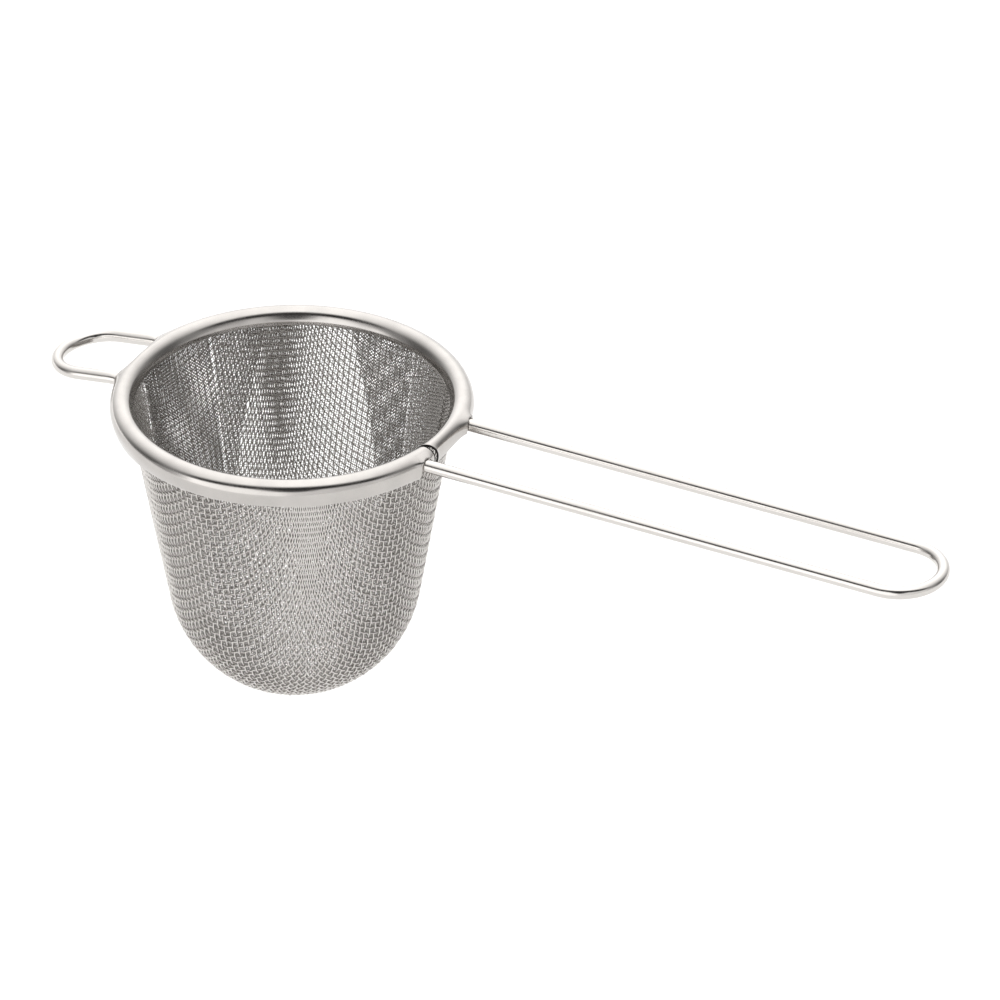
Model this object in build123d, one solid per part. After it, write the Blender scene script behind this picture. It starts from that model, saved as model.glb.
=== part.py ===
from build123d import *
import math
import os

# Tea strainer, millimetres. +Z is up, +X runs along the handle away from the basket.
# The origin is on the rim's axis, level with the underside of the handle wire,
# which is the plane a cup's lip touches.

# Driving sizes
RIM_OUTER_DIA = 70.0          # over the rolled band
WIRE_DIA = 2.5                # handle and rest loop
SHEET = 0.4                   # band strip
COARSE_NET = 0.40             # thickness of the pressed coarse net in the rim
FINE_NET = 0.22               # thickness of the pressed fine net in the rim
HANDLE_LEG_SPACING = 17.0     # centre to centre
HANDLE_END_CENTRE = 128.0     # rim axis to the centre of the end bend
REST_LEG_SPACING = 16.0       # centre to centre
REST_END_CENTRE = 43.0        # rim axis to the centre of the end bend
REST_DIP_ANGLE = 8.0          # the rest loop is set slightly downwards
REST_DIP_RADIUS = 12.0        # bend that starts the dip
LEG_TURN_RADIUS = 3.5         # bend from a leg into the rim
SKIRT_DROP = 2.3              # band's outer edge below the wire centre
LIP_DROP = 0.45               # band's inner edge below the wire centre
HEM_DROP = 1.2                # nets' free edge below the wire centre
COLLAR_DROP = 0.7             # upright top of the basket below the wire centre
BASKET_DEPTH = 62.2           # wire centre to the basket's lowest point
BASKET_TAPER = 0.17           # loss of radius per unit of depth
WELD_LENGTH = 0.8             # each butt weld along the wire
NOTCH_GAP = 0.35              # band to wire, in the notches the legs leave through
SPLIT_INSIDE = 0.3            # open joint of the band, at its inner edge
SPLIT_OUTSIDE = 0.9           # the same joint, at its outer edge

# Named clearances
NET_GAP = 0.02                # wire to net, and net to net
BAND_GAP = 0.06               # net to band
JOINT_GAP = 0.01              # weld to wire end

# Derived sizes
WIRE_R = WIRE_DIA / 2
WIRE_Z = WIRE_R
COARSE_IN = WIRE_R + NET_GAP
COARSE_OUT = COARSE_IN + COARSE_NET
FINE_IN = COARSE_OUT + NET_GAP
FINE_OUT = FINE_IN + FINE_NET
BAND_IN = FINE_OUT + BAND_GAP
BAND_OUT = BAND_IN + SHEET
RING_R = RIM_OUTER_DIA / 2 - BAND_OUT
HANDLE_HALF = HANDLE_LEG_SPACING / 2
REST_HALF = REST_LEG_SPACING / 2
BASKET_R = RING_R - COARSE_IN
BASKET_TOP_Z = WIRE_Z - COLLAR_DROP
BASKET_LOW_Z = WIRE_Z - BASKET_DEPTH
TAPER_ANGLE = math.atan(BASKET_TAPER)
TURN_X = {
    HANDLE_HALF: math.sqrt((RING_R + LEG_TURN_RADIUS) ** 2 - (HANDLE_HALF + LEG_TURN_RADIUS) ** 2),
    REST_HALF: math.sqrt((RING_R + LEG_TURN_RADIUS) ** 2 - (REST_HALF + LEG_TURN_RADIUS) ** 2),
}


def turn_angle(half):
    """Angle on the ring, in degrees from the legs' side, where a leg's bend meets it."""
    return math.degrees(math.atan2(half + LEG_TURN_RADIUS, TURN_X[half]))


def ring_point(angle, radius=RING_R):
    a = math.radians(angle)
    return (radius * math.cos(a), radius * math.sin(a), WIRE_Z)


def ring_arc(start, end):
    return ThreePointArc(ring_point(start), ring_point((start + end) / 2), ring_point(end))


def leg_turn(half, side, x_sign):
    """Bend between the ring and one straight leg, given from the ring outwards."""
    centre_x = TURN_X[half]
    centre_y = half + LEG_TURN_RADIUS
    a0 = math.radians(180 + turn_angle(half))
    a1 = math.radians(270)
    points = []
    for a in (a0, (a0 + a1) / 2, a1):
        x = centre_x + LEG_TURN_RADIUS * math.cos(a)
        y = centre_y + LEG_TURN_RADIUS * math.sin(a)
        points.append((x_sign * x, side * y, WIRE_Z))
    return ThreePointArc(*points)


def handle_path():
    """U-shaped wire: weld, ring, bend, leg, end bend, and back the same way."""
    half = HANDLE_HALF
    end = 90 - math.degrees((WELD_LENGTH / 2 + JOINT_GAP) / RING_R)
    a = turn_angle(half)
    edges = []
    edges.append(ring_arc(end, a))
    edges.append(leg_turn(half, 1, 1))
    edges.append(Line((TURN_X[half], half, WIRE_Z), (HANDLE_END_CENTRE, half, WIRE_Z)))
    tip = (HANDLE_END_CENTRE + half, 0, WIRE_Z)
    edges.append(ThreePointArc((HANDLE_END_CENTRE, half, WIRE_Z), tip, (HANDLE_END_CENTRE, -half, WIRE_Z)))
    edges.append(Line((TURN_X[half], -half, WIRE_Z), (HANDLE_END_CENTRE, -half, WIRE_Z)))
    edges.append(leg_turn(half, -1, 1))
    edges.append(ring_arc(-a, -end))
    return Wire(edges)


def dipped(s, y):
    """Point of the rest loop at a distance s beyond the start of its dip."""
    start = -TURN_X[REST_HALF]
    dip = math.radians(REST_DIP_ANGLE)
    bend = REST_DIP_RADIUS * dip
    if s <= bend:
        t = s / REST_DIP_RADIUS
        return (start - REST_DIP_RADIUS * math.sin(t), y, WIRE_Z - REST_DIP_RADIUS * (1 - math.cos(t)))
    x = start - REST_DIP_RADIUS * math.sin(dip) - (s - bend) * math.cos(dip)
    z = WIRE_Z - REST_DIP_RADIUS * (1 - math.cos(dip)) - (s - bend) * math.sin(dip)
    return (x, y, z)


def rest_path():
    """Short U-shaped wire on the far side of the rim, dipping outside the band."""
    half = REST_HALF
    end = 90 + math.degrees((WELD_LENGTH / 2 + JOINT_GAP) / RING_R)
    a = 180 - turn_angle(half)
    bend = REST_DIP_RADIUS * math.radians(REST_DIP_ANGLE)
    run = REST_END_CENTRE - TURN_X[half]
    edges = []
    edges.append(ring_arc(end, a))
    edges.append(leg_turn(half, 1, -1))
    edges.append(ThreePointArc(dipped(0, half), dipped(bend / 2, half), dipped(bend, half)))
    edges.append(Line(dipped(bend, half), dipped(run, half)))
    edges.append(ThreePointArc(dipped(run, half), dipped(run + half, 0), dipped(run, -half)))
    edges.append(Line(dipped(bend, -half), dipped(run, -half)))
    edges.append(ThreePointArc(dipped(0, -half), dipped(bend / 2, -half), dipped(bend, -half)))
    edges.append(leg_turn(half, -1, -1))
    edges.append(ring_arc(-a, -end))
    return Wire(edges)


def round_wire(path):
    section = Plane(origin=path @ 0, z_dir=path % 0) * Circle(WIRE_R)
    return sweep(section, path=path)


def butt_weld(angle):
    span = math.degrees(WELD_LENGTH / RING_R)
    disc = Plane.XZ * Pos(RING_R, WIRE_Z) * Circle(WIRE_R)
    return Rot(0, 0, angle - span / 2) * revolve(disc, Axis.Z, span)


def basket_curve(depth_in):
    """Basket profile moved inwards by depth_in: collar, straight taper, round bottom."""
    low = BASKET_LOW_Z
    ca = math.cos(TAPER_ANGLE)
    sa = math.sin(TAPER_ANGLE)
    centre_z = ((BASKET_R - BASKET_TAPER * BASKET_TOP_Z) * ca + low) / (1 - sa)
    ball = centre_z - low - depth_in
    foot = (ball * ca, centre_z - ball * sa)
    collar_r = BASKET_R - depth_in
    collar_z = foot[1] + (collar_r - foot[0]) / BASKET_TAPER
    middle = math.radians(45) + TAPER_ANGLE / 2
    belly = (ball * math.cos(middle), centre_z - ball * math.sin(middle))
    return collar_r, collar_z, foot, belly, (0, centre_z - ball)


def net_cup(near, far):
    """Closed shell between two depths of the basket profile."""
    outer = basket_curve(near - COARSE_IN)
    inner = basket_curve(far - COARSE_IN)
    with BuildSketch(Plane.XZ) as profile:
        with BuildLine():
            Line((outer[0], WIRE_Z), (outer[0], outer[1]))
            Line((outer[0], outer[1]), outer[2])
            ThreePointArc(outer[2], outer[3], outer[4])
            Line(outer[4], inner[4])
            ThreePointArc(inner[4], inner[3], inner[2])
            Line(inner[2], (inner[0], inner[1]))
            Line((inner[0], inner[1]), (inner[0], WIRE_Z))
            Line((inner[0], WIRE_Z), (outer[0], WIRE_Z))
        make_face()
    return revolve(profile.sketch, Axis.Z, 360)


def net_hem(near, far, side):
    """Top of a net, wrapped over the ring of wire along one side of the rim."""
    with BuildSketch(Plane.XZ) as section:
        with BuildLine():
            Line((RING_R - far, WIRE_Z), (RING_R - near, WIRE_Z))
            ThreePointArc((RING_R - near, WIRE_Z), (RING_R, WIRE_Z + near), (RING_R + near, WIRE_Z))
            Line((RING_R + near, WIRE_Z), (RING_R + near, WIRE_Z - HEM_DROP))
            Line((RING_R + near, WIRE_Z - HEM_DROP), (RING_R + far, WIRE_Z - HEM_DROP))
            Line((RING_R + far, WIRE_Z - HEM_DROP), (RING_R + far, WIRE_Z))
            ThreePointArc((RING_R + far, WIRE_Z), (RING_R, WIRE_Z + far), (RING_R - far, WIRE_Z))
        make_face()
    start = turn_angle(HANDLE_HALF)
    sweep_angle = 180 - turn_angle(REST_HALF) - start
    turned = Rot(0, 0, start) * revolve(section.sketch, Axis.Z, sweep_angle)
    if side < 0:
        return mirror(turned, about=Plane.XZ)
    return turned


def net(near, far):
    return net_cup(near, far) + net_hem(near, far, 1) + net_hem(near, far, -1)


def flat_x(half):
    """Distance from the axis to the band's flattened outer face between a pair of legs."""
    return math.sqrt((RIM_OUTER_DIA / 2) ** 2 - half ** 2)


def band_section():
    """Rolled strip: long outer skirt, round top, short inner lip."""
    x = RING_R
    with BuildSketch(Plane.XZ) as section:
        with BuildLine():
            Line((x + BAND_IN, WIRE_Z - SKIRT_DROP), (x + BAND_OUT, WIRE_Z - SKIRT_DROP))
            Line((x + BAND_OUT, WIRE_Z - SKIRT_DROP), (x + BAND_OUT, WIRE_Z))
            ThreePointArc((x + BAND_OUT, WIRE_Z), (x, WIRE_Z + BAND_OUT), (x - BAND_OUT, WIRE_Z))
            Line((x - BAND_OUT, WIRE_Z), (x - BAND_OUT, WIRE_Z - LIP_DROP))
            Line((x - BAND_OUT, WIRE_Z - LIP_DROP), (x - BAND_IN, WIRE_Z - LIP_DROP))
            Line((x - BAND_IN, WIRE_Z - LIP_DROP), (x - BAND_IN, WIRE_Z))
            ThreePointArc((x - BAND_IN, WIRE_Z), (x, WIRE_Z + BAND_IN), (x + BAND_IN, WIRE_Z))
            Line((x + BAND_IN, WIRE_Z), (x + BAND_IN, WIRE_Z - SKIRT_DROP))
        make_face()
    return section.sketch


def band_envelope():
    """The band's outside as a filled section, used to shape its flattened walls."""
    x = RING_R
    with BuildSketch(Plane.XZ) as section:
        with BuildLine():
            Line((x - BAND_OUT, WIRE_Z - SKIRT_DROP), (x + BAND_OUT, WIRE_Z - SKIRT_DROP))
            Line((x + BAND_OUT, WIRE_Z - SKIRT_DROP), (x + BAND_OUT, WIRE_Z))
            ThreePointArc((x + BAND_OUT, WIRE_Z), (x, WIRE_Z + BAND_OUT), (x - BAND_OUT, WIRE_Z))
            Line((x - BAND_OUT, WIRE_Z), (x - BAND_OUT, WIRE_Z - SKIRT_DROP))
        make_face()
    return section.sketch


def flattened(band, envelope, half, x_sign):
    """Presses the band's outer wall flat between two legs. Its inner edge stays round."""
    face = flat_x(half)
    tall = 4 * BAND_OUT
    wide = RIM_OUTER_DIA
    beyond = Pos(x_sign * (face + wide / 2), 0, WIRE_Z) * Box(wide, wide, tall)
    slab = Pos(x_sign * (face - SHEET / 2), 0, WIRE_Z) * Box(SHEET, wide, tall)
    return (band - beyond) + (envelope & slab)


def leg_notch(half, side, x_sign):
    """Arched cutter that follows a leg out of the band, open downwards."""
    r = WIRE_R + NOTCH_GAP
    turn = leg_turn(half, side, x_sign)
    leg = Line(turn @ 1, (x_sign * (TURN_X[half] + 3 * BAND_OUT), side * half, WIRE_Z))
    path = Wire([turn, leg])
    arch = Circle(r) + Pos(0, -SKIRT_DROP) * Rectangle(2 * r, 2 * SKIRT_DROP)
    frame = Plane(origin=turn @ 0, x_dir=Vector(0, 0, 1).cross(turn % 0), z_dir=turn % 0)
    if frame.y_dir.Z < 0:
        frame = Plane(origin=turn @ 0, x_dir=(turn % 0).cross(Vector(0, 0, 1)), z_dir=turn % 0)
    return sweep(frame * arch, path=path)


def split_cutter():
    """Wedge of the band's open joint, over the handle's second leg."""
    inner = flat_x(HANDLE_HALF) - 2 * BAND_OUT
    outer = flat_x(HANDLE_HALF) + 2 * BAND_OUT
    with BuildSketch(Plane.XY) as wedge:
        with BuildLine():
            Polyline(
                (inner, -SPLIT_INSIDE / 2),
                (outer, -SPLIT_OUTSIDE / 2),
                (outer, SPLIT_OUTSIDE / 2),
                (inner, SPLIT_INSIDE / 2),
                close=True,
            )
        make_face()
    block = extrude(wedge.sketch, 4 * BAND_OUT)
    return Pos(0, -HANDLE_HALF, WIRE_Z - SKIRT_DROP - 1) * block


def rim_band():
    band = revolve(band_section(), Axis.Z, 360)
    envelope = revolve(band_envelope(), Axis.Z, 360)
    for half, x_sign in ((HANDLE_HALF, 1), (REST_HALF, -1)):
        band = flattened(band, envelope, half, x_sign)
        for side in (1, -1):
            band = band - leg_notch(half, side, x_sign)
    return band - split_cutter()


def save(shape, name):
    shape.label = name
    export_step(shape, "parts/" + name + ".step")


os.makedirs("parts", exist_ok=True)
save(rim_band(), "rim_band")
save(round_wire(handle_path()), "handle_wire")
save(round_wire(rest_path()), "rest_loop_wire")
save(Compound(children=[butt_weld(90), butt_weld(-90)]), "butt_welds")
save(net(COARSE_IN, COARSE_OUT), "coarse_net")
save(net(FINE_IN, FINE_OUT), "fine_net")
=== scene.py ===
import math

import bmesh
import bpy
import numpy as np
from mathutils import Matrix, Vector


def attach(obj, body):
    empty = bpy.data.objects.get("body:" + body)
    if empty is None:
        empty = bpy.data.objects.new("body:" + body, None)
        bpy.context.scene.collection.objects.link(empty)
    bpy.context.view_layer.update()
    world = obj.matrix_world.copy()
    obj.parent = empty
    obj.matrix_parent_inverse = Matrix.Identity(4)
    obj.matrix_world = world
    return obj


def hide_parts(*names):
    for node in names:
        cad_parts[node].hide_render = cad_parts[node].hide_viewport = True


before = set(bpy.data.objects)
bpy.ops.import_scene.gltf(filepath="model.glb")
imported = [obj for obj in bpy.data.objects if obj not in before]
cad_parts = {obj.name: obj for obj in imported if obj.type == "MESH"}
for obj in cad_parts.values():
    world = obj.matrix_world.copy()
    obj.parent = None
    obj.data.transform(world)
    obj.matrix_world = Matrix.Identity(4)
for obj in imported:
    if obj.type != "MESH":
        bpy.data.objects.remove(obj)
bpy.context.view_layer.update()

# HANDLE WIRE
# One length of 2.5 mm stainless wire bent into a long U. Each end turns outwards and runs
# a quarter of the way round inside the rim. It is drawn, bent cold and electropolished.
wire_thick = 0.0025
level = wire_thick / 2
ring = 0.03263
handle_half = 0.0085
handle_end = 0.128
leg_turn = 0.0035
weld_half = 0.00041


def arc(centre, radius, first, last, pieces):
    """Points of an arc at the wires' level, angles in degrees."""
    a = np.radians(np.linspace(first, last, pieces + 1))
    return np.stack([centre[0] + radius * np.cos(a), centre[1] + radius * np.sin(a), np.full_like(a, level)], 1)


def joined(runs):
    """One path from runs that meet end to end."""
    out = [runs[0]]
    for run in runs[1:]:
        out.append(run[1:])
    return np.concatenate(out)


def turn_centre(half):
    """How far out the bend from the ring into a leg has its centre."""
    return math.sqrt((ring + leg_turn) ** 2 - (half + leg_turn) ** 2)


def half_loop(half, weld_side):
    """Weld to the outer end of one leg: round the ring, out through the band."""
    x = turn_centre(half)
    meet = math.degrees(math.atan2(half + leg_turn, x))
    on_ring = arc((0, 0), ring, weld_side, meet, 60)
    turn = arc((x, half + leg_turn), leg_turn, 180 + meet, 270, 16)
    return joined([on_ring, turn])


def thread_mesh(name, paths, values=None):
    """Open paths as a mesh of edges, with a value for each point where one is given."""
    start, edges = 0, []
    for path in paths:
        k = np.arange(start, start + len(path) - 1)
        edges.append(np.stack([k, k + 1], 1))
        start += len(path)
    mesh = bpy.data.meshes.new(name)
    mesh.vertices.add(start)
    mesh.vertices.foreach_set("co", np.concatenate(paths).astype(np.float32).ravel())
    edges = np.concatenate(edges)
    mesh.edges.add(len(edges))
    mesh.edges.foreach_set("vertices", edges.astype(np.int32).ravel())
    for key, (kind, data) in (values or {}).items():
        layer = mesh.attributes.new(key, kind, "POINT")
        layer.data.foreach_set("value" if kind == "FLOAT" else "vector", data.astype(np.float32).ravel())
    mesh.update()
    return mesh


def wire_tree():
    """Round wire drawn along every path, lifted over and under where it is woven."""
    tree = bpy.data.node_groups.new("Round wire", "GeometryNodeTree")
    face = tree.interface
    face.new_socket("Geometry", in_out="INPUT", socket_type="NodeSocketGeometry")
    face.new_socket("Wire diameter", in_out="INPUT", socket_type="NodeSocketFloat")
    face.new_socket("Crimp height", in_out="INPUT", socket_type="NodeSocketFloat")
    face.new_socket("Sides", in_out="INPUT", socket_type="NodeSocketInt")
    face.new_socket("Material", in_out="INPUT", socket_type="NodeSocketMaterial")
    face.new_socket("Geometry", in_out="OUTPUT", socket_type="NodeSocketGeometry")

    def add(kind, settings=None, **inputs):
        node = tree.nodes.new(kind)
        for key, value in (settings or {}).items():
            setattr(node, key, value)
        for key, value in inputs.items():
            socket = next(s for s in node.inputs if s.name == key.replace("_", " ") and s.enabled)
            if isinstance(value, bpy.types.NodeSocket):
                tree.links.new(value, socket)
            else:
                socket.default_value = value
        return node

    given = add("NodeGroupInput").outputs
    over = add("GeometryNodeInputNamedAttribute", {"data_type": "FLOAT"}, Name="over")
    out = add("GeometryNodeInputNamedAttribute", {"data_type": "FLOAT_VECTOR"}, Name="out")
    lift = add("ShaderNodeMath", {"operation": "MULTIPLY"})
    tree.links.new(over.outputs["Attribute"], lift.inputs[0])
    tree.links.new(given["Crimp height"], lift.inputs[1])
    push = add("ShaderNodeVectorMath", {"operation": "SCALE"}, Vector=out.outputs["Attribute"], Scale=lift.outputs[0])
    woven = add("GeometryNodeSetPosition", Geometry=given["Geometry"], Offset=push.outputs[0])
    path = add("GeometryNodeMeshToCurve", Mesh=woven.outputs[0])
    run = add("GeometryNodeSplineParameter")
    path = add("GeometryNodeStoreNamedAttribute", {"data_type": "FLOAT", "domain": "POINT"},
               Geometry=path.outputs[0], Name="run", Value=run.outputs["Length"])
    radius = add("ShaderNodeMath", {"operation": "MULTIPLY"})
    tree.links.new(given["Wire diameter"], radius.inputs[0])
    radius.inputs[1].default_value = 0.5
    circle = add("GeometryNodeCurvePrimitiveCircle", {"mode": "RADIUS"},
                 Resolution=given["Sides"], Radius=radius.outputs[0])
    place = add("GeometryNodeInputPosition")
    circle = add("GeometryNodeStoreNamedAttribute", {"data_type": "FLOAT_VECTOR", "domain": "POINT"},
                 Geometry=circle.outputs[0], Name="round", Value=place.outputs[0])
    skin = add("GeometryNodeCurveToMesh", Curve=path.outputs[0], Profile_Curve=circle.outputs[0], Fill_Caps=True)
    real = add("GeometryNodeRealizeInstances", Geometry=skin.outputs[0])
    smooth = add("GeometryNodeSetShadeSmooth", Geometry=real.outputs[0], Shade_Smooth=True)
    dressed = add("GeometryNodeSetMaterial", Geometry=smooth.outputs[0], Material=given["Material"])
    end = add("NodeGroupOutput")
    tree.links.new(dressed.outputs[0], end.inputs[0])
    return tree


round_wire = wire_tree()


def drawn(name, mesh, thick, sides, material, crimp=0.0):
    """The paths of a mesh as real wire, in a plain mesh at the origin."""
    draft = bpy.data.objects.new(name + "_paths", mesh)
    bpy.context.collection.objects.link(draft)
    layer = draft.modifiers.new("wire", "NODES")
    layer.node_group = round_wire
    wanted = {"Wire diameter": thick, "Crimp height": crimp, "Sides": sides, "Material": material}
    for item in round_wire.interface.items_tree:
        if item.in_out == "INPUT" and item.name in wanted:
            layer[item.identifier] = wanted[item.name]
    seen = draft.evaluated_get(bpy.context.evaluated_depsgraph_get())
    plain = bpy.data.meshes.new_from_object(seen)
    plain.name = name
    bpy.data.objects.remove(draft)
    piece = bpy.data.objects.new(name, plain)
    bpy.context.collection.objects.link(piece)
    return piece


class Value:
    """One value in a finish, which can be added, multiplied or taken away."""

    def __init__(self, socket):
        self.socket = socket

    def __add__(self, other):
        return finish.node("ShaderNodeMath", {"operation": "ADD"}, [self, other])

    def __mul__(self, other):
        return finish.node("ShaderNodeMath", {"operation": "MULTIPLY"}, [self, other])

    def __rsub__(self, other):
        return finish.node("ShaderNodeMath", {"operation": "SUBTRACT"}, [other, self])


class Finish:
    """One material, or the world where its tree is given, and the single way its nodes are made."""

    def __init__(self, name, tree=None):
        if tree is None:
            self.material = bpy.data.materials.new(name)
            self.material.use_nodes = True
            tree = self.material.node_tree
        self.tree = tree
        self.tree.nodes.clear()

    def node(self, kind, settings=None, inputs=None, output=0):
        made = self.tree.nodes.new(kind)
        for key, value in (settings or {}).items():
            if key == "stops":
                ramp = made.color_ramp
                while len(ramp.elements) < len(value):
                    ramp.elements.new(0.5)
                for element, (at, tone) in zip(ramp.elements, value):
                    element.position = at
                    element.color = (tone, tone, tone, 1)
            else:
                setattr(made, key, value)
        pairs = enumerate(inputs) if isinstance(inputs, list) else (inputs or {}).items()
        for key, value in pairs:
            if isinstance(value, Value):
                self.tree.links.new(value.socket, made.inputs[key])
            else:
                made.inputs[key].default_value = value
        return Value(made.outputs[output]) if made.outputs else None

    def shade(self, normal=None, **sockets):
        named = {key.replace("_", " "): value for key, value in sockets.items()}
        if normal is not None:
            named["Normal"] = normal
        shader = self.node("ShaderNodeBsdfPrincipled", {}, named)
        self.node("ShaderNodeOutputMaterial", {"target": "ALL"}, {"Surface": shader})
        return self.material


finish = Finish("polished_wire")
run = finish.node("ShaderNodeAttribute", {"attribute_name": "run"}, {}, "Fac")
about = finish.node("ShaderNodeAttribute", {"attribute_name": "round"}, {}, "Vector")
apart = finish.node("ShaderNodeSeparateXYZ", {}, {"Vector": about})
side = finish.node("ShaderNodeSeparateXYZ", {}, {"Vector": about}, 1)
draw_lines = finish.node("ShaderNodeCombineXYZ", {}, {"X": apart * 9000.0, "Y": side * 9000.0, "Z": run * 160.0})
drawn_mark = finish.node("ShaderNodeTexNoise", {}, {"Vector": draw_lines, "Scale": 1.0, "Detail": 3.0})
handled = finish.node("ShaderNodeCombineXYZ", {}, {"X": apart * 500.0, "Y": side * 500.0, "Z": run * 70.0})
smears = finish.node("ShaderNodeTexNoise", {}, {"Vector": handled, "Scale": 1.0, "Detail": 4.0, "Roughness": 0.6})
dull = finish.node("ShaderNodeValToRGB", {"stops": [(0.35, 0.0), (0.75, 1.0)]}, {"Fac": smears})
clean_wire, handled_wire = (0.60, 0.575, 0.55, 1), (0.54, 0.515, 0.49, 1)
tone = finish.node("ShaderNodeMix", {"data_type": "RGBA"}, {0: dull, 6: clean_wire, 7: handled_wire}, 2)
bump = finish.node("ShaderNodeBump", {}, {"Strength": 0.12, "Distance": 0.00002, "Height": drawn_mark})
polished_wire = finish.shade(bump, Base_Color=tone, Roughness=dull * 0.10 + 0.13 + drawn_mark * 0.05, Metallic=1.0)

one_side = half_loop(handle_half, 90 - math.degrees(weld_half / ring))
legs = np.array([[turn_centre(handle_half), handle_half, level], [handle_end, handle_half, level]])
leg = legs[0] + (legs[1] - legs[0]) * np.linspace(0, 1, 40)[:, None]
tip = arc((handle_end, 0), handle_half, 90, 0, 20)
near_half = joined([one_side, leg, tip])
far_half = near_half[::-1] * np.array([1, -1, 1])
centre_line = thread_mesh("handle", [joined([near_half, far_half])])
handle = drawn("handle_wire_polished", centre_line, wire_thick, 32, polished_wire)
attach(handle, "root")
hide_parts("handle_wire")

# REST LOOP
# A short U of the same wire on the side away from the handle, set a little downwards so
# that it hooks over a cup's lip. Its ends run round inside the rim to meet the handle's.
rest_half = 0.008
rest_end = 0.043
dip = math.radians(8.0)
dip_bend = 0.012

rest_side = half_loop(rest_half, 90 - math.degrees(weld_half / ring))
start = turn_centre(rest_half)
t = np.linspace(0, dip, 8)
bend = np.stack([start + dip_bend * np.sin(t), np.full_like(t, rest_half), level - dip_bend * (1 - np.cos(t))], 1)
left = rest_end - start - dip_bend * dip
s = np.linspace(0, left, 8)[:, None]
leg = bend[-1] + s * np.array([math.cos(dip), 0, -math.sin(dip)])
a = np.radians(np.linspace(90, 0, 20))
out = rest_half * np.cos(a)
tip = np.stack([leg[-1, 0] + out * math.cos(dip), rest_half * np.sin(a), leg[-1, 2] - out * math.sin(dip)], 1)
near_half = joined([rest_side, bend, leg, tip]) * np.array([-1, 1, 1])
far_half = near_half[::-1] * np.array([1, -1, 1])
centre_line = thread_mesh("rest", [joined([near_half, far_half])])
rest = drawn("rest_loop_polished", centre_line, wire_thick, 32, polished_wire)
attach(rest, "root")
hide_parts("rest_loop_wire")

# BUTT WELDS
# The two wires are butt welded end to end inside the rim, one weld at each side, and the
# flash is ground back to the wire. The bead keeps a faint heat tint.
finish = Finish("ground_weld")
place = finish.node("ShaderNodeTexCoord", {}, {}, "Object")
grain = finish.node("ShaderNodeTexNoise", {}, {"Vector": place, "Scale": 2600.0, "Detail": 4.0})
straw_tint, bare_weld = (0.50, 0.47, 0.43, 1), (0.62, 0.61, 0.60, 1)
heat = finish.node("ShaderNodeMix", {"data_type": "RGBA"}, {0: grain, 6: straw_tint, 7: bare_weld}, 2)
bump = finish.node("ShaderNodeBump", {}, {"Strength": 0.4, "Distance": 0.00004, "Height": grain})
ground_weld = finish.shade(bump, Base_Color=heat, Roughness=grain * 0.3 + 0.3, Metallic=1.0)
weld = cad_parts["butt_welds"]
weld.data.materials.clear()
weld.data.materials.append(ground_weld)

# COARSE NET
# Plain weave of 0.28 mm stainless wire, about nineteen to the inch, deep drawn over a punch
# into a cup. It stays square along its two weave directions and shears into long diamonds
# between them. The hem goes over the ring of wire and is held by the band.
coarse_wire = 0.00028
coarse_pitch = 0.00133
wire_gap = 0.00127
collar_r = ring - wire_gap
collar_drop = 0.0007
depth = 0.0622
taper = 0.17
hem_drop = 0.0012
weave_turn = math.radians(-10)


def cup_line(inward, hem):
    """The cup's section from its lowest point up, then over the ring wire where a hem is wanted."""
    slope = math.atan(taper)
    ca, sa = math.cos(slope), math.sin(slope)
    low = level - depth
    centre = ((collar_r - taper * (level - collar_drop)) * ca + low) / (1 - sa)
    ball = centre - low - inward
    a = np.linspace(-math.pi / 2, -slope, 700)
    ball_part = np.stack([ball * np.cos(a), centre + ball * np.sin(a)], 1)
    foot = ball_part[-1]
    collar = collar_r - inward
    top = foot[1] + (collar - foot[0]) / taper
    runs = [ball_part, foot + (np.array([collar, top]) - foot) * np.linspace(0, 1, 500)[1:, None]]
    edge = np.array([collar, level])
    runs.append(runs[-1][-1] + (edge - runs[-1][-1]) * np.linspace(0, 1, 30)[1:, None])
    if hem:
        b = np.linspace(math.pi, 0, 160)[1:]
        over = wire_gap + inward
        runs.append(np.stack([ring + over * np.cos(b), level + over * np.sin(b)], 1))
        end = runs[-1][-1]
        runs.append(end + np.array([0, -hem_drop]) * np.linspace(0, 1, 30)[1:, None])
    line = np.concatenate(runs)
    run = np.concatenate([[0], np.cumsum(np.hypot(*np.diff(line, axis=0).T))])
    return run, line


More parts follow.
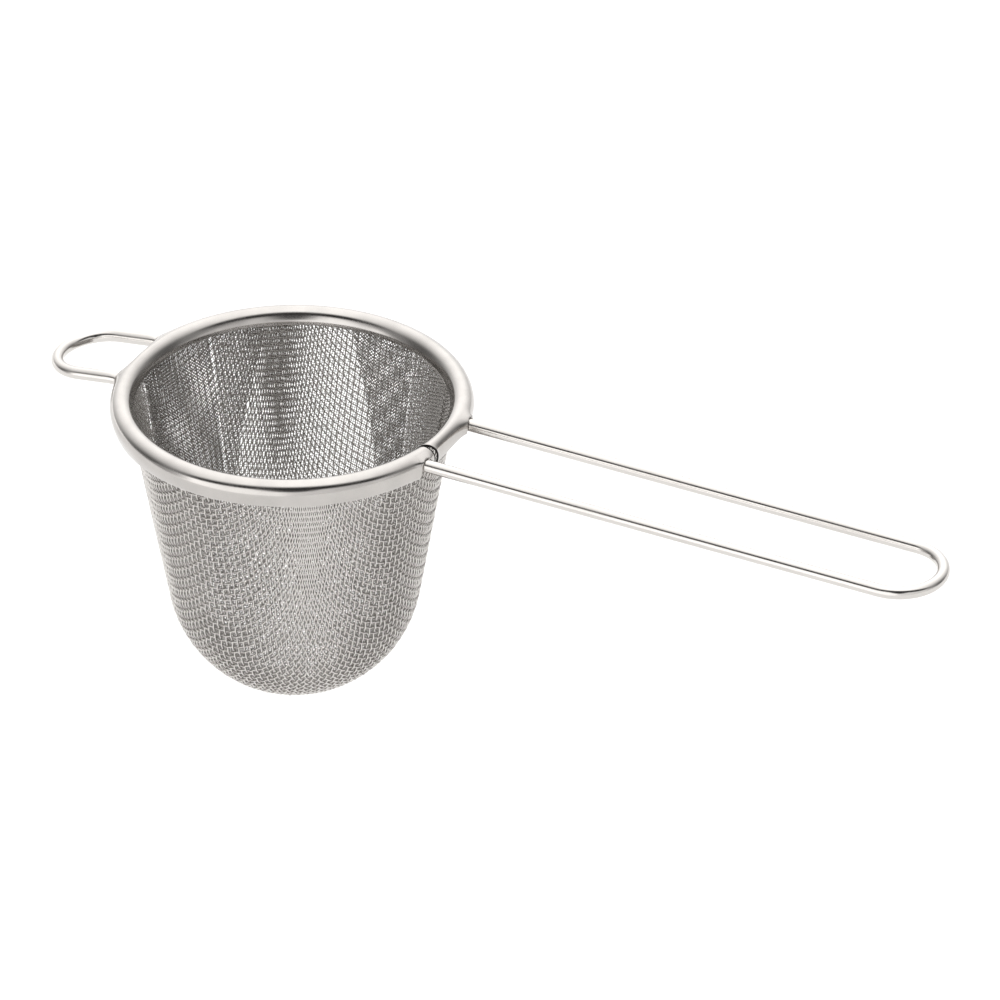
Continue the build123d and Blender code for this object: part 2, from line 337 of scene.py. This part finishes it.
def laid_net(pitch, inward, hem):
    """Where the wires cross, for one quarter of the net: cells keep their side and change their angle."""
    run, line = cup_line(inward, hem)
    r_of = lambda s: np.interp(s, run, line[:, 0])
    z_of = lambda s: np.interp(s, run, line[:, 1])
    count = int(run[-1] / pitch) + 2
    s_at = np.full((count, count), np.nan)
    f_at = np.full((count, count), np.nan)
    along = np.arange(count) * pitch
    s_at[:, 0], f_at[:, 0] = along, 0.0
    s_at[0, :], f_at[0, :] = along, math.pi / 2
    s_at[0, 0], f_at[0, 0] = 0.0, math.pi / 4

    def spot(s, f):
        r = r_of(s)
        return np.stack([r * np.cos(f), r * np.sin(f), z_of(s)], -1)

    for diagonal in range(2, 2 * count - 1):
        i = np.arange(max(1, diagonal - count + 1), min(count - 1, diagonal - 1) + 1)
        j = diagonal - i
        ok = ~np.isnan(s_at[i - 1, j]) & ~np.isnan(s_at[i, j - 1])
        i, j = i[ok], j[ok]
        if not len(i):
            continue
        sa, fa, sb, fb = s_at[i - 1, j], f_at[i - 1, j], s_at[i, j - 1], f_at[i, j - 1]
        first, second = spot(sa, fa), spot(sb, fb)
        s = sa + sb - s_at[i - 1, j - 1]
        f = fa + fb - f_at[i - 1, j - 1]
        for _ in range(25):
            here = spot(s, f)
            h = 1e-7
            ds = (spot(s + h, f) - spot(s - h, f)) / (2 * h)
            df = np.stack([-here[:, 1], here[:, 0], np.zeros(len(s))], -1)
            u, v = here - first, here - second
            e1 = (u * u).sum(1) - pitch**2
            e2 = (v * v).sum(1) - pitch**2
            a11, a12 = 2 * (u * ds).sum(1), 2 * (u * df).sum(1)
            a21, a22 = 2 * (v * ds).sum(1), 2 * (v * df).sum(1)
            det = a11 * a22 - a12 * a21
            det = np.where(np.abs(det) < 1e-14, 1e-14, det)
            s_step = (e1 * a22 - e2 * a12) / det
            f_step = (a11 * e2 - a21 * e1) / det
            most = 0.5 * pitch
            s_step = np.clip(s_step, -most, most)
            reach = most / np.maximum(r_of(s), pitch)
            f_step = np.clip(f_step, -reach, reach)
            s, f = s - s_step, f - f_step
        bad = (np.abs(e1) > 0.02 * pitch**2) | (np.abs(e2) > 0.02 * pitch**2) | (s > run[-1]) | (s < 0)
        s = np.where(bad, np.nan, s)
        s_at[i, j], f_at[i, j] = s, np.where(bad, np.nan, f)
    s_at[s_at > run[-1]] = np.nan
    return run, line, s_at, f_at


def threaded(place, out, parity, usable):
    """Threads of both directions through a grid of crossings, wherever the grid is usable."""
    families = []
    for swap, sign in ((False, 1.0), (True, -1.0)):
        p, o, q, u = place, out, parity * sign, usable
        if swap:
            p, o, q, u = p.transpose(1, 0, 2), o.transpose(1, 0, 2), q.T, u.T
        threads = []
        for row in range(len(u)):
            good = np.flatnonzero(u[row])
            for part in np.split(good, np.flatnonzero(np.diff(good) > 1) + 1):
                if len(part) > 1:
                    threads.append((row, p[row, part], o[row, part], q[row, part]))
        families.append(threads)
    return families


def on_cup(run, line, s, f):
    """Places and outward directions on the cup, from the distance up its wall and the bearing."""
    tangent = np.gradient(line, axis=0)
    tangent /= np.hypot(tangent[:, 0], tangent[:, 1])[:, None]
    r, z = np.interp(s, run, line[:, 0]), np.interp(s, run, line[:, 1])
    nr, nz = np.interp(s, run, tangent[:, 1]), -np.interp(s, run, tangent[:, 0])
    place = np.stack([r * np.cos(f), r * np.sin(f), z], -1)
    return place, np.stack([nr * np.cos(f), nr * np.sin(f), nz], -1)


def woven(pitch, inward, hem, turn, open_at, seed):
    """A whole net drawn over the cup, left out wherever open_at says."""
    run, line, s_at, f_at = laid_net(pitch, inward, hem)
    reach = len(s_at) - 1
    index = np.arange(-reach, reach + 1)
    gi, gj = np.meshgrid(index, index, indexing="ij")
    s, f = s_at[abs(gi), abs(gj)], f_at[abs(gi), abs(gj)]
    f = np.where(gi < 0, math.pi - f, f)
    f = np.where(gj < 0, -f, f) + turn
    place, out = on_cup(run, line, s, f)
    place = place + np.random.default_rng(seed).normal(0, 0.02 * pitch, place.shape)
    parity = np.where((gi + gj) % 2 == 0, 1.0, -1.0)
    usable = ~np.isnan(s) & ~open_at(s - run[-1], f, place[..., 2])
    return threaded(place, out, parity, usable)


def halved(points):
    """The same path with a point added half way along each step."""
    out = np.empty((2 * len(points) - 1,) + points.shape[1:])
    out[::2] = points
    out[1::2] = (points[1:] + points[:-1]) / 2
    return out


def net_piece(name, threads, thick, sides, material, smoothed):
    """One piece of net. A smoothed wire has a level point half way between crossings."""
    eased = halved if smoothed else (lambda points: points)
    paths, over, out = [], [], []
    for _, p, o, q in threads:
        paths.append(eased(p))
        over.append(eased(q))
        out.append(eased(o))
    values = {"over": ("FLOAT", np.concatenate(over)), "out": ("FLOAT_VECTOR", np.concatenate(out))}
    return drawn(name, thread_mesh(name, paths, values), thick, sides, material, thick / 2)


finish = Finish("drawn_net_wire")
coarse_steel = finish.shade(None, Base_Color=(0.555, 0.534, 0.512, 1), Roughness=0.10, Metallic=1.0)


def legs_pass(beyond, f, z):
    """True where the hem makes way for a leg, and for the flattened face between two legs."""
    turned = np.abs((np.degrees(f) + 180) % 360 - 180)
    leg = ((turned > 11.8) & (turned < 20)) | ((turned > 160.5) & (turned < 169.2))
    between = (turned <= 11.8) | (turned >= 169.2)
    return (leg & (beyond > -0.0062)) | (between & (beyond > -0.0029))


families = woven(coarse_pitch, coarse_wire, True, weave_turn, legs_pass, 3)
for label, threads in zip(("warp", "weft"), families):
    middle = np.median([row for row, *_ in threads])
    halves = {"a": [t for t in threads if t[0] < middle], "b": [t for t in threads if t[0] >= middle]}
    for part, chosen in halves.items():
        name = "coarse_" + label + "_" + part
        piece = net_piece(name, chosen, coarse_wire, 6, coarse_steel, True)
        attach(piece, "root")
        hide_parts("coarse_net")

# FINE NET
# A much finer plain weave of 0.16 mm wire that does the straining, lying inside the coarse net.
# It is too stiff to draw so deep, so its wall stands in flat sectors with sharp folds between
# them; four of the sectors are pleats, where the surplus net lies double.
fine_wire = 0.00016
fine_pitch = 0.00048
fine_turn = weave_turn + math.pi / 4
fine_inward = 2 * coarse_wire + fine_wire + 0.00002
# Each fold's bearing at the rim in degrees, and how many degrees it leans per metre down.
folds = ((10, 0), (41, 0), (69, -100), (97.5, -600), (128.5, 570), (150.5, 0), (188, 200), (224, -200),
         (261, 150), (300, -200), (333, 200), (370, 0))
pleats = (1, 2, 4, 5)
pleat_gap = 0.00034
bowl_top = -0.036
wall_r = 0.0285
wall_half = 0.018
finish = Finish("fine_net_wire")
fine_steel = finish.shade(None, Base_Color=(0.49, 0.471, 0.451, 1), Roughness=0.14, Metallic=1.0)


def above_bowl(beyond, f, z):
    return z > bowl_top + 0.0004


def sector(number, mirrored, inward, seed):
    """Threads of one flat stretch of wall, between two folds that may lean."""
    run, line = cup_line(inward, False)
    (left, lean_left), (right, lean_right) = folds[number], folds[number + 1]
    middle = math.radians(left + right) / 2
    angle = (fine_turn - middle) * (-1 if mirrored else 1)
    reach = np.arange(-58, 59)
    gi, gj = np.meshgrid(reach, reach, indexing="ij")
    x = fine_pitch * (gi * math.cos(angle) - gj * math.sin(angle))
    y = fine_pitch * (gi * math.sin(angle) + gj * math.cos(angle))
    f = middle + x / wall_r
    s = run[-1] - wall_half + y
    place, out = on_cup(run, line, s, f)
    z = place[..., 2]
    down = level - z
    inside = (np.degrees(f) > left + lean_left * down) & (np.degrees(f) < right + lean_right * down)
    inside &= (s < run[-1] - 0.0001) & (z > bowl_top)
    place = place + np.random.default_rng(seed).normal(0, 0.02 * fine_pitch, place.shape)
    parity = np.where((gi + gj) % 2 == 0, 1.0, -1.0)
    warp, weft = threaded(place, out, parity, inside)
    return warp + weft


laid = [sector(number, False, fine_inward, number) for number in range(len(folds) - 1)]
laid += [sector(number, True, fine_inward + pleat_gap, 40 + number) for number in pleats]
sheets = {"wall_a": laid[0] + laid[1] + laid[2], "wall_b": laid[3] + laid[4] + laid[5],
          "wall_c": laid[6] + laid[7], "wall_d": laid[8] + laid[9] + laid[10],
          "pleats": laid[11] + laid[12] + laid[13] + laid[14]}
sheets["bowl_warp"], sheets["bowl_weft"] = woven(fine_pitch, fine_inward, False, fine_turn, above_bowl, 5)
for label, threads in sheets.items():
    piece = net_piece("fine_" + label, threads, fine_wire, 4, fine_steel, False)
    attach(piece, "root")
    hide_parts("fine_net")

# RIM BAND
# A strip of 0.4 mm stainless sheet rolled over the wire and both hems: a short lip inside, a
# domed top and a flat skirt outside that is pressed in at its foot. Its ends meet in an open
# joint beside one handle leg, and each leg leaves through an arch nipped into the skirt.
strip = 0.0004
rim_r = 0.035
skirt_foot = (0.00150, -0.00228)
leg_exit_r = 0.0348
rest_leg = 180 - math.degrees(math.asin(rest_half / leg_exit_r))
handle_leg = math.degrees(math.asin(handle_half / leg_exit_r))
skirt_r = 0.0347
joint_at = -9.7
arch_half = 0.00155
foot_near, foot_far = -0.0021, -0.0009
joint_inside, joint_outside = 0.00030, 0.00045


def bent(first, corner, last, pieces):
    """A smooth curve from first to last that leaves and arrives in line with the corner."""
    t = np.linspace(0, 1, pieces + 1)[:, None]
    return (1 - t) ** 2 * np.array(first) + 2 * t * (1 - t) * np.array(corner) + t**2 * np.array(last)


def rounded(centre, radius, first, last, pieces):
    a = np.radians(np.linspace(first, last, pieces + 1))
    return np.stack([centre[0] + radius * np.cos(a), centre[1] + radius * np.sin(a)], 1)


def strip_line():
    """Middle of the rolled strip across the rim: distance out from the wire, height above it."""
    lip = bent((-0.00217, -0.00005), (-0.00217, 0.000276), (-0.001625, 0.00122), 20)
    crown = rounded((0.00002, 0.00027), 0.0019, 150, 32, 70)
    shoulder = rounded((-0.000209, 0.000127), 0.00217, 32, 8, 16)
    skirt = bent((0.00194, 0.000429), (0.00208, -0.00057), skirt_foot, 30)
    line = np.concatenate([[(-0.00217, -0.00043)], lip, crown[1:], shoulder[1:], skirt[1:]])
    line[:, 0] *= 1 + 0.085 * np.clip(line[:, 0] / 0.0016, 0, 1)
    run = np.concatenate([[0], np.cumsum(np.hypot(*np.diff(line, axis=0).T))])
    return run, line


strip_run, strip_mid = strip_line()
dome_top = strip_run[int(np.argmax(strip_mid[:, 1]))]


def arch_height(off):
    """Height of the skirt's edge within an arch, up and over the leg."""
    return -0.0001 + 0.00160 * math.sqrt(1 - (off / arch_half) ** 2)


def strip_end(angle):
    """How far along the section the strip reaches at this angle, stopping short in an arch."""
    outer = strip_run > dome_top
    foot = skirt_foot[1]
    between = (angle + 180) % 360 - 180
    if abs(between) < handle_leg:
        foot = foot_near + (foot_far - foot_near) * (between + handle_leg) / (2 * handle_leg)
    reach = float(np.interp(-foot, -strip_mid[outer, 1], strip_run[outer]))
    for leg in (handle_leg, -handle_leg, rest_leg, -rest_leg):
        off = math.radians((angle - leg + 180) % 360 - 180) * skirt_r
        if abs(off) < arch_half:
            reach = min(reach, float(np.interp(-arch_height(off), -strip_mid[outer, 1], strip_run[outer])))
    return reach


# More stations stand close together at each arch's foot, where the edge turns sharply.
angles = [np.linspace(joint_at, joint_at + 360, 541)]
from_foot = np.array([-0.12, -0.05, -0.01, 1e-5, 0.01, 0.04, 0.1, 0.2, 0.35, 0.6, 0.9]) / 1000
for leg in (handle_leg, -handle_leg, rest_leg, -rest_leg):
    for edge in (-1, 1):
        close = edge * (arch_half - from_foot)
        angles.append((leg + np.degrees(close / skirt_r) - joint_at) % 360 + joint_at)
angles = np.unique(np.round(np.concatenate(angles), 6))
angles = angles[np.concatenate([[True], np.diff(angles) > 0.0004])]
across = 40
top_share = np.linspace(0, 1, 22)[:-1]
low_share = np.linspace(0, 1, across - 21)
corners = []
for number, angle in enumerate(angles):
    reach = strip_end(angle)
    q = np.concatenate([top_share * dome_top, dome_top + low_share * (reach - dome_top)])
    n, z = np.interp(q, strip_run, strip_mid[:, 0]), np.interp(q, strip_run, strip_mid[:, 1])
    h = 0.00004
    tn = np.interp(q + h, strip_run, strip_mid[:, 0]) - np.interp(q - h, strip_run, strip_mid[:, 0])
    tz = np.interp(q + h, strip_run, strip_mid[:, 1]) - np.interp(q - h, strip_run, strip_mid[:, 1])
    size = np.hypot(tn, tz)
    tn, tz = tn / size, tz / size
    half = strip / 2
    outer = np.stack([n - tz * half, z + tn * half], 1)
    inner = np.stack([n + tz * half, z - tn * half], 1)
    ends = []
    for k, sign in ((-1, 1), (0, -1)):
        middle = np.array([n[k], z[k]])
        along = sign * np.array([tn[k], tz[k]])
        side_way = (outer[k] - middle) if sign > 0 else (inner[k] - middle)
        for w in (50, 0, -50):
            w = math.radians(w)
            ends.append(middle + side_way * math.sin(w) + along * 0.7 * half * math.cos(w))
    loop = np.concatenate([outer, np.array(ends[:3]), inner[::-1], np.array(ends[3:])])
    turned = math.radians(angle)
    nn, zz = loop[:, 0].copy(), loop[:, 1]
    # The wall stands flat between two legs, and swells out over each one.
    for leg, face in ((0, math.sqrt(rim_r**2 - handle_half**2)), (180, math.sqrt(rim_r**2 - rest_half**2))):
        off = math.radians((angle - leg + 180) % 360 - 180)
        if abs(off) < 0.5:
            room = min(rim_r, face / math.cos(off)) - ring
            share = (room + 0.0006) / (rim_r - ring + 0.0006)
            nn = np.where(nn > -0.0006, -0.0006 + (nn + 0.0006) * share, nn)
    for leg in (handle_leg, -handle_leg, rest_leg, -rest_leg):
        off = math.radians((angle - leg + 180) % 360 - 180) * skirt_r
        swell = (0.00085 if abs(leg) < 90 else 0.00045) * math.exp(-((off / 0.0020) ** 2))
        nn = nn + swell * np.clip((loop[:, 0] - 0.0009) / 0.0011, 0, 1) ** 1.5
    # The rolling leaves it a few hundredths of a millimetre out of true.
    wave = 0.00004 * math.sin(3 * turned + 1.0) + 0.00003 * math.sin(7 * turned) - 0.00007
    nn = nn + wave * np.clip(loop[:, 0] / 0.002, 0, 1)
    # The open joint is wider outside, cut on a slant, with one end a little lower.
    half_gap = joint_inside + (joint_outside - joint_inside) * np.clip((loop[:, 0] + 0.0012) / 0.0030, 0, 1)
    slant = np.radians(-0.8 + 2.5 * np.clip((loop[:, 0] + 0.0022) / 0.0045, 0, 1) ** 1.5)
    if number == 0:
        shift = half_gap / ring + slant
    elif number == len(angles) - 1:
        shift = -half_gap / ring + slant
    else:
        near = min(angle - angles[0], angles[-1] - angle)
        sign = 1 if angle - angles[0] < angles[-1] - angle else -1
        shift = (sign * half_gap / ring + slant) * max(0.0, 1 - near / 4.0)
    lift = -0.0001 * max(0.0, 1 - (angles[-1] - angle) / 5.0)
    a = turned + shift
    radius = ring + nn + lift * np.clip(loop[:, 0] / 0.002, 0, 1)
    high = level + zz + lift * np.clip(zz / 0.002, 0, 1)
    corners.append(np.stack([radius * np.cos(a), radius * np.sin(a), high], 1))
corners = np.array(corners)
rings, around = corners.shape[:2]
faces = []
for k in range(rings - 1):
    for m in range(around):
        w = (m + 1) % around
        faces.append((k * around + m, k * around + w, (k + 1) * around + w, (k + 1) * around + m))
for end, flip in ((0, False), (rings - 1, True)):
    base = end * around
    outer_row = list(range(across))
    inner_row = [across + 3 + (across - 1 - m) for m in range(across)]
    for m in range(across - 1):
        quad = (base + outer_row[m], base + inner_row[m], base + inner_row[m + 1], base + outer_row[m + 1])
        faces.append(quad[::-1] if flip else quad)
    tail = [base + outer_row[-1], base + inner_row[-1], base + across + 2, base + across + 1, base + across]
    faces.append(tail[::-1] if flip else tail)
    last = base + 2 * across + 5
    head = [base + inner_row[0], base + outer_row[0], last, last - 1, last - 2]
    faces.append(head[::-1] if flip else head)
mesh = bpy.data.meshes.new("rim_band_rolled")
mesh.from_pydata(corners.reshape(-1, 3).tolist(), [], faces)
mesh.update()
skin = bmesh.new()
skin.from_mesh(mesh)
bmesh.ops.recalc_face_normals(skin, faces=skin.faces)
skin.to_mesh(mesh)
skin.free()
cut_edges = (rings - 1) * around
for face in mesh.polygons:
    face.use_smooth = face.index < cut_edges
# Marks the strip's inner face and its two cut ends for painted shade: they are coloured near-black, as they see
# little light.
layer = mesh.attributes.new("within", "FLOAT", "CORNER")
painted_shade = np.zeros((rings, around), np.float32)
painted_shade[:, across + 4:2 * across + 2] = 1.0
corner = np.empty(len(mesh.loops), np.int32)
mesh.loops.foreach_get("vertex_index", corner)
painted_shade = painted_shade.ravel()[corner]
painted_shade[mesh.polygons[cut_edges].loop_start:] = 1.0
layer.data.foreach_set("value", painted_shade)
band = bpy.data.objects.new("rim_band_rolled", mesh)
bpy.context.collection.objects.link(band)

finish = Finish("rolled_strip")
place = finish.node("ShaderNodeTexCoord", {}, {}, "Object")
px = finish.node("ShaderNodeSeparateXYZ", {}, {"Vector": place}, 0)
py = finish.node("ShaderNodeSeparateXYZ", {}, {"Vector": place}, 1)
pz = finish.node("ShaderNodeSeparateXYZ", {}, {"Vector": place}, 2)
bearing = finish.node("ShaderNodeMath", {"operation": "ARCTAN2"}, [py, px])
spread = finish.node("ShaderNodeMath", {"operation": "SQRT"}, [px * px + py * py])
lines = finish.node("ShaderNodeCombineXYZ", {}, {"X": spread * 7000.0, "Y": bearing * 5.0, "Z": pz * 7000.0})
brushed = finish.node("ShaderNodeTexNoise", {}, {"Vector": lines, "Scale": 1.0, "Detail": 4.0, "Roughness": 0.6})
cloud = finish.node("ShaderNodeTexNoise", {}, {"Vector": place, "Scale": 160.0, "Detail": 3.0})
soft = finish.node("ShaderNodeValToRGB", {"stops": [(0.35, 0.0), (0.7, 1.0)]}, {"Fac": cloud})
bright_strip, dull_strip, unlit_strip = (0.48, 0.458, 0.437, 1), (0.435, 0.415, 0.396, 1), (0.03, 0.029, 0.028, 1)
tone = finish.node("ShaderNodeMix", {"data_type": "RGBA"}, {0: soft, 6: bright_strip, 7: dull_strip}, 2)
bump = finish.node("ShaderNodeBump", {}, {"Strength": 0.10, "Distance": 0.00002, "Height": brushed})
within = finish.node("ShaderNodeAttribute", {"attribute_name": "within"}, {}, "Fac")
# Painted shade: where the within attribute marks the inner face and cut ends, the colour turns near-black.
tone = finish.node("ShaderNodeMix", {"data_type": "RGBA"}, {0: within, 6: tone, 7: unlit_strip}, 2)
rough = soft * 0.08 + 0.13 + brushed * 0.06 + within * 0.3
band_steel = finish.shade(bump, Base_Color=tone, Roughness=rough, Metallic=1.0)
band.data.materials.append(band_steel)
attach(band, "root")
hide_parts("rim_band")

# STUDIO
# A white table that runs out of view, broad soft light from above, and a darker room on
# the side where the viewer stands, which is what the polished wire mirrors.
turn, rise = math.radians(27.81), math.radians(31.6)
to_viewer = (math.sin(turn) * math.cos(rise), -math.cos(turn) * math.cos(rise), math.sin(rise))
finish = Finish("white_table")
white = (1, 1, 1, 1)
table_white = finish.shade(None, Base_Color=(0.80, 0.80, 0.80, 1), Roughness=0.9, Emission_Color=white,
                           Emission_Strength=0.34)
mesh = bpy.data.meshes.new("table")
floor_z = level - depth - 0.16
mesh.from_pydata([(-2, -0.62, floor_z), (2, -0.62, floor_z), (2, 3, floor_z), (-2, 3, floor_z)], [], [(0, 1, 2, 3)])
mesh.materials.append(table_white)
table = bpy.data.objects.new("table", mesh)
bpy.context.collection.objects.link(table)

world = bpy.data.worlds.new("studio")
bpy.context.scene.world = world
world.use_nodes = True
bpy.context.scene.view_settings.view_transform = "Standard"
finish = Finish("studio", world.node_tree)
look = finish.node("ShaderNodeTexCoord", {}, {}, "Generated")


def towards(direction):
    return finish.node("ShaderNodeVectorMath", {"operation": "DOT_PRODUCT"}, [look, direction], "Value")


def stepped(value, stops):
    return finish.node("ShaderNodeValToRGB", {"stops": stops}, {"Fac": value})


front = towards((math.sin(turn), -math.cos(turn), 0))
side = towards((math.cos(turn), math.sin(turn), 0))
height = towards((0, 0, 1))
aside = finish.node("ShaderNodeMath", {"operation": "ABSOLUTE"}, [side])
overhead = stepped(aside, [(0.0, 1.0), (0.25, 0.93), (0.5, 0.74), (0.75, 0.46), (0.88, 0.25), (0.97, 0.09)])
horizon = stepped(height, [(0.0, 0.6), (0.12, 0.68), (0.45, 1.0)])
panels = stepped(side * 0.5 + 0.5, [(0.02, 0.1), (0.075, 0.88), (0.45, 0.88), (0.5, 0.55), (0.9, 0.45), (0.97, 0.13)])
above = finish.node("ShaderNodeMath", {"operation": "ARCTAN2"}, [height, front]) * (1 / math.pi)
over = stepped(above, [(0.33, 0.0), (0.42, 1.0)])
under = stepped(above, [(0.165, 1.0), (0.205, 0.0)])
beyond = stepped(aside, [(0.72, 0.0), (0.86, 0.35)])
viewer = stepped(towards(to_viewer), [(0.955, 1.0), (0.98, 0.03)])
lamps = (overhead * horizon * over + panels * under) * 2.1
glow = lamps * viewer + beyond * (1.0 - over) + 0.04
sky = finish.node("ShaderNodeBackground", {}, {"Color": (1, 1, 1, 1), "Strength": glow})
finish.node("ShaderNodeOutputWorld", {}, {"Surface": sky})

# CAMERA
away = 1.4429
back = Vector(to_viewer)
right = Vector((math.cos(turn), math.sin(turn), 0))
up = back.cross(right)
aim = Vector((0, 0, level)) + right * 0.03983 - up * 0.01867
lens = bpy.data.cameras.new("camera")
lens.sensor_width = 36.0
lens.lens = 271.4
lens.clip_start, lens.clip_end = 0.01, 20.0
camera = bpy.data.objects.new("camera", lens)
camera.location = aim + back * away
camera.rotation_euler = back.to_track_quat("Z", "Y").to_euler()
bpy.context.collection.objects.link(camera)
bpy.context.scene.camera = camera
